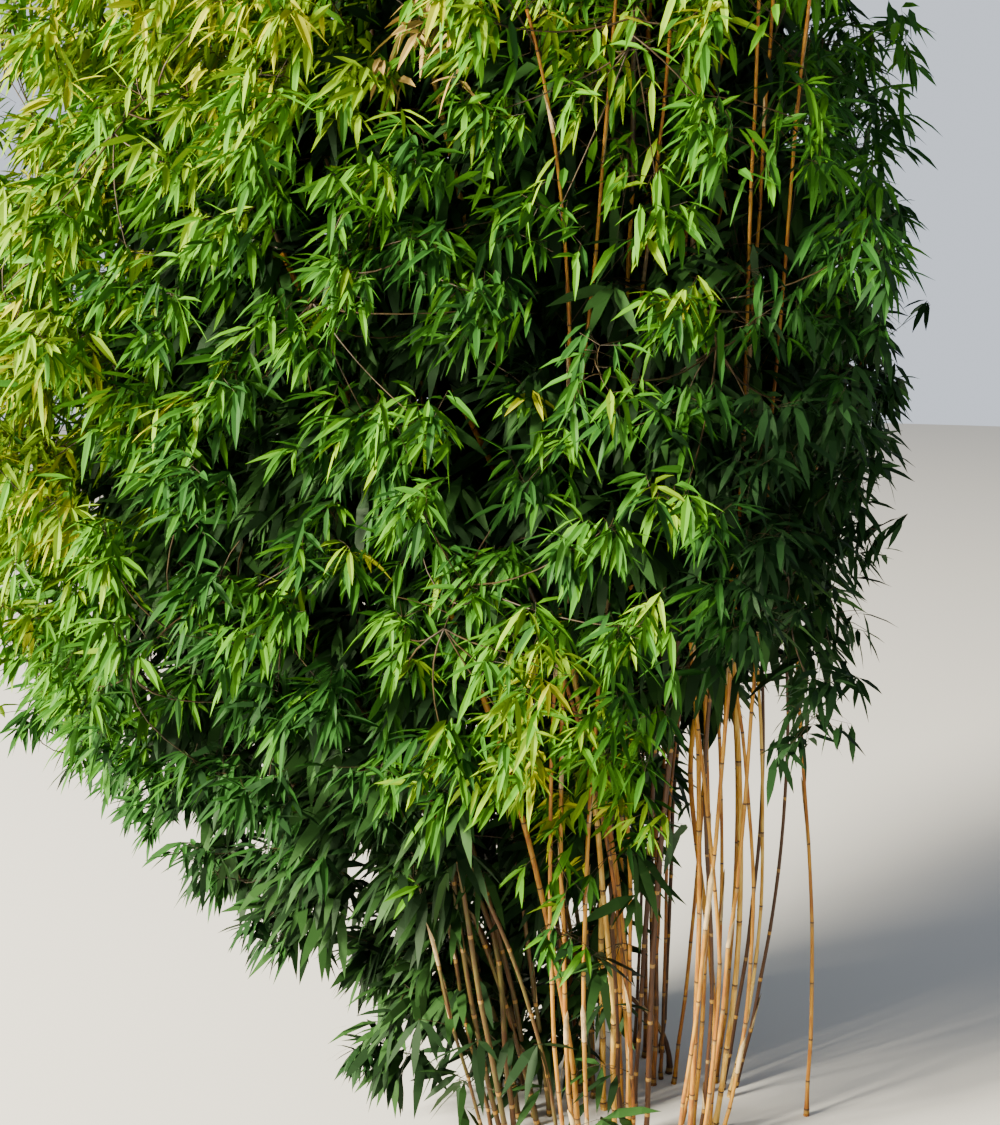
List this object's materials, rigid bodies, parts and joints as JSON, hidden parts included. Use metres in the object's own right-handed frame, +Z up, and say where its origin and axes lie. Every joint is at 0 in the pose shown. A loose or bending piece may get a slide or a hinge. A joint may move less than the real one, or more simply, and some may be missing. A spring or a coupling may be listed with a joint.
{
  "type": "clump-forming bamboo plant",
  "caption": "Clump of garden bamboo rooted in the ground: slender canes rise from one foot, fan out and arch over under a dense, lopsided crown of narrow drooping leaves.",
  "frame": {"origin": "on the ground, in the middle of the flat cut under the main cane", "axes": "+Z up along the main cane, -Y to the front, +X to the right as seen from the front"},
  "size_m": [1.5962, 1.4255, 2.3099],
  "materials": {
    "canes": "satin, golden brown",
    "foliage": "soft green leaf"
  },
  "bodies": {
    "root": {"cane_tuft_01": "canes", "cane_tuft_02": "canes", "cane_tuft_03": "canes", "cane_tuft_04": "canes", "cane_tuft_05": "canes", "cane_tuft_06": "canes", "cane_tuft_07": "canes", "cane_tuft_08": "canes", "cane_tuft_09": "canes", "cane_tuft_10": "canes", "cane_tuft_11": "canes", "cane_tuft_12": "canes", "cane_tuft_13": "canes", "lone_cane": "canes", "foliage_01": "foliage", "foliage_02": "foliage", "foliage_03": "foliage", "foliage_04": "foliage", "foliage_05": "foliage", "foliage_06": "foliage", "foliage_07": "foliage", "foliage_08": "foliage", "foliage_09": "foliage", "foliage_10": "foliage", "foliage_11": "foliage", "foliage_12": "foliage", "foliage_13": "foliage", "foliage_14": "foliage", "foliage_15": "foliage", "foliage_16": "foliage", "foliage_17": "foliage", "foliage_18": "foliage", "foliage_19": "foliage", "foliage_20": "foliage", "foliage_21": "foliage", "foliage_22": "foliage", "foliage_23": "foliage", "foliage_24": "foliage", "foliage_25": "foliage", "foliage_26": "foliage", "foliage_27": "foliage", "foliage_28": "foliage", "foliage_29": "foliage", "foliage_30": "foliage", "foliage_31": "foliage", "foliage_32": "foliage", "foliage_33": "foliage", "foliage_34": "foliage", "foliage_35": "foliage", "foliage_36": "foliage", "foliage_37": "foliage", "foliage_38": "foliage", "foliage_39": "foliage", "foliage_40": "foliage"}
  },
  "joints": []
}
